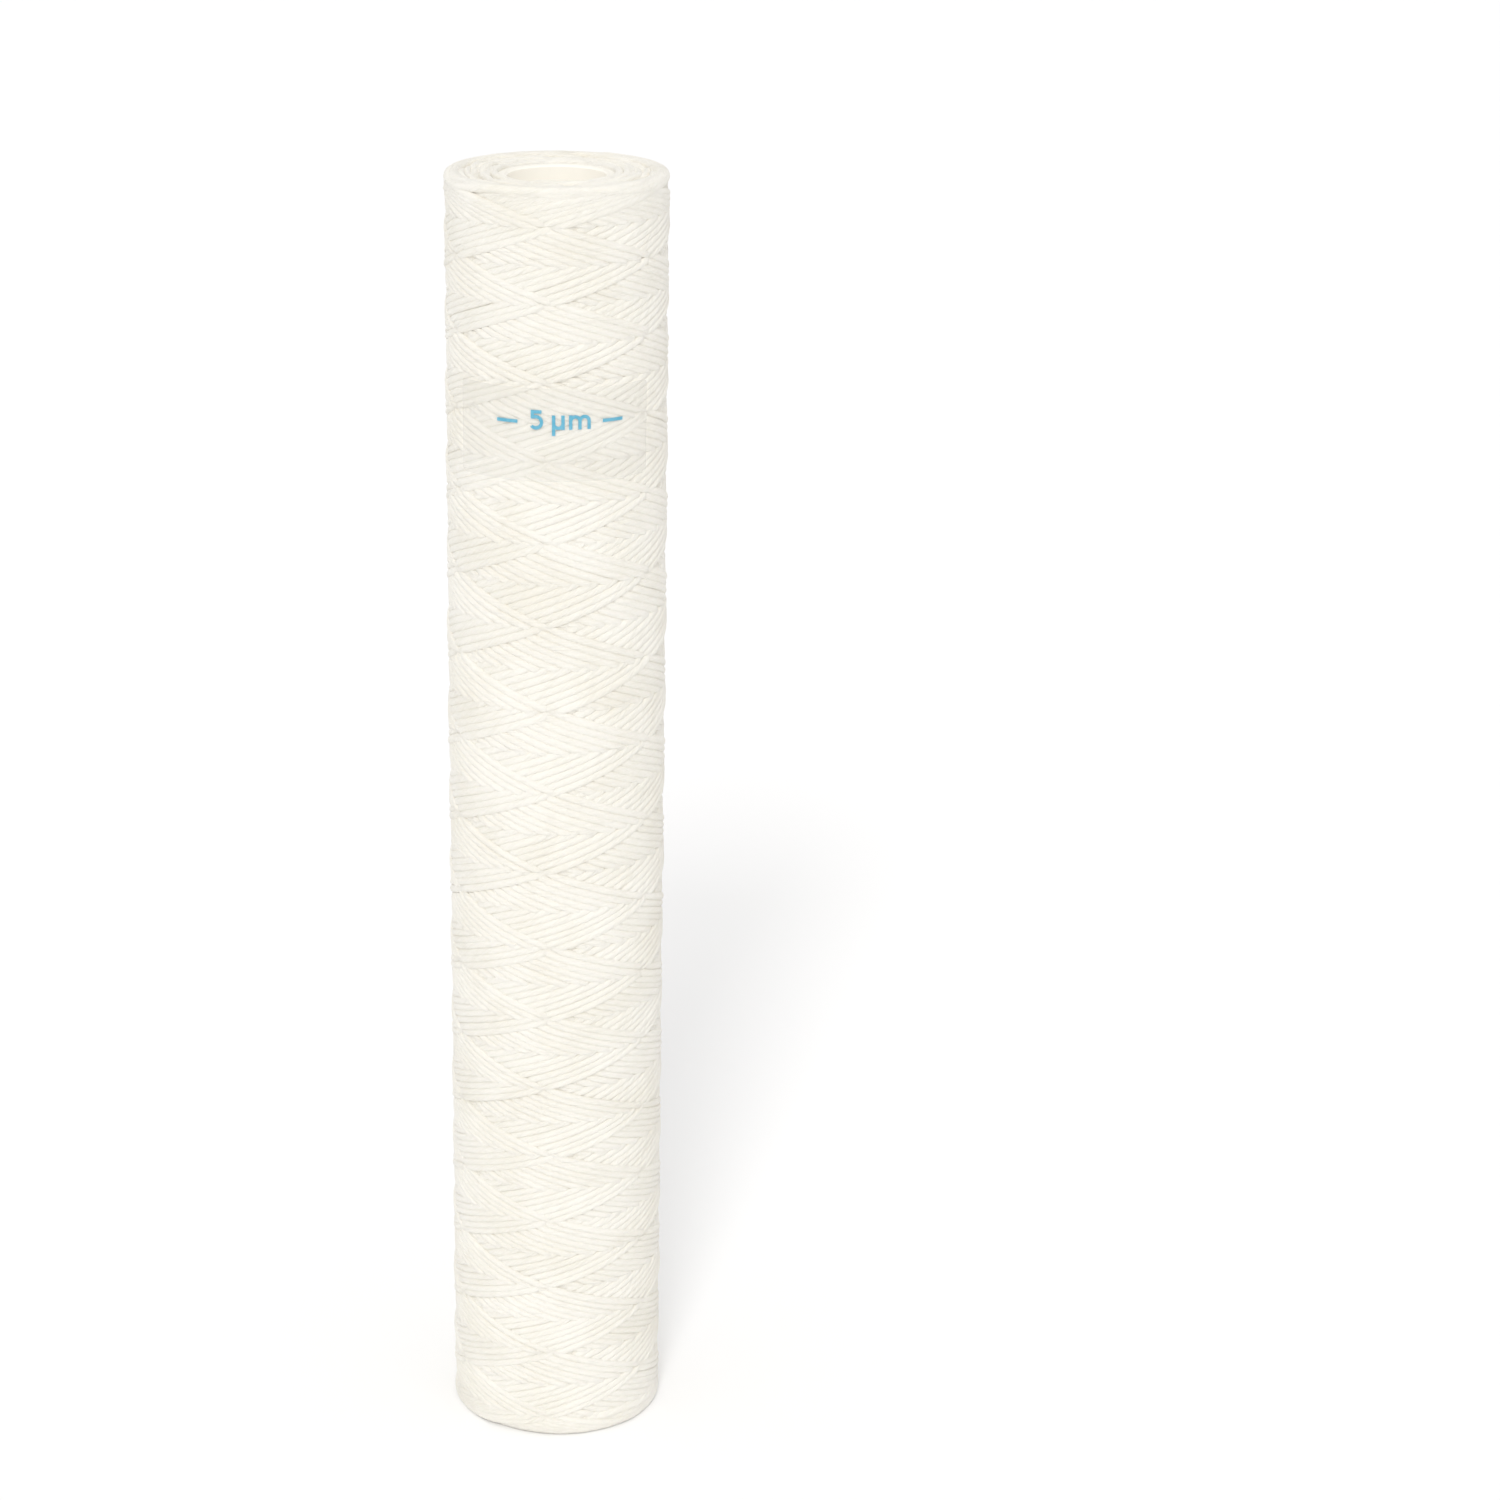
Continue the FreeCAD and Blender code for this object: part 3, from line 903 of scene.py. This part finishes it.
tailEnd = {
    "points": 40,
    "sides": 14,
    "tuck": 0.0016,        # its start is pushed this far under the others
    "tuckShare": 0.16,     # of its length, over which it comes out
    "wave": 0.0007,
    "waveRadians": 4.5,    # from end to end
    "wander": (8, 0.0002),
    "leanDrift": (7, 0.12),
    "thinTo": 0.45,        # its cut end is drawn out thin
    "thinShare": 0.18,     # of its length
    "seed": 19,
}


def addTail():
    # The pressed-in end of the yarn, close to the bottom.
    lowTail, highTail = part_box("yarn_tail")
    rng = np.random.default_rng(tailEnd["seed"])
    start = math.atan2(lowTail.x, -lowTail.y)
    end = math.atan2(highTail.x, -highTail.y)
    u = np.linspace(0, 1, tailEnd["points"])
    angle = start + (end - start) * u
    z = (lowTail.z + highTail.z) / 2 + tailEnd["wave"] * np.sin(tailEnd["waveRadians"] * u)
    z = z + drift(rng, len(u), *tailEnd["wander"])
    tuck = tailEnd["tuck"] * smoothStep(1 - u / tailEnd["tuckShare"])
    points = onCartridge(angle, cartridgeRadius - halfStrand - tuck, z)
    normals = leaning(angle, drift(rng, len(u), *tailEnd["leanDrift"]))
    thinning = smoothStep((u - (1 - tailEnd["thinShare"])) / tailEnd["thinShare"])
    scales = 1 - (1 - tailEnd["thinTo"]) * thinning
    return layStrands("yarnEnd", [(points, normals, scales, lengthsAlong(points))], tailEnd["sides"])


def dress(node, material):
    # A CAD node keeps its shape and takes this material.
    mesh = frame["nodes"][node].data
    mesh.materials.clear()
    mesh.materials.append(material)


yarnPieces = addYarn()
turnPieces = addEndTurns()
body = addUnderWinding()
tail = addTail()

for piece in yarnPieces + turnPieces + [body, tail]:
    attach(piece, "root")
for piece in yarnPieces:
    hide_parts("winding_outer")
for piece in turnPieces:
    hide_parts("winding_middle")
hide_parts("winding_inner", "winding_middle")
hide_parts("yarn_tail")

coreMaterial = makeCoreMaterial()
dress("core_lower_section", coreMaterial)
dress("core_upper_section", coreMaterial)
dress("core_wrap", makePatchyMaterial("nonwovenScrim", scrimFinish))
dress("label_film", makeFilmMaterial())
dress("label_print", makePatchyMaterial("blueInk", inkFinish))
print("pieces placed")
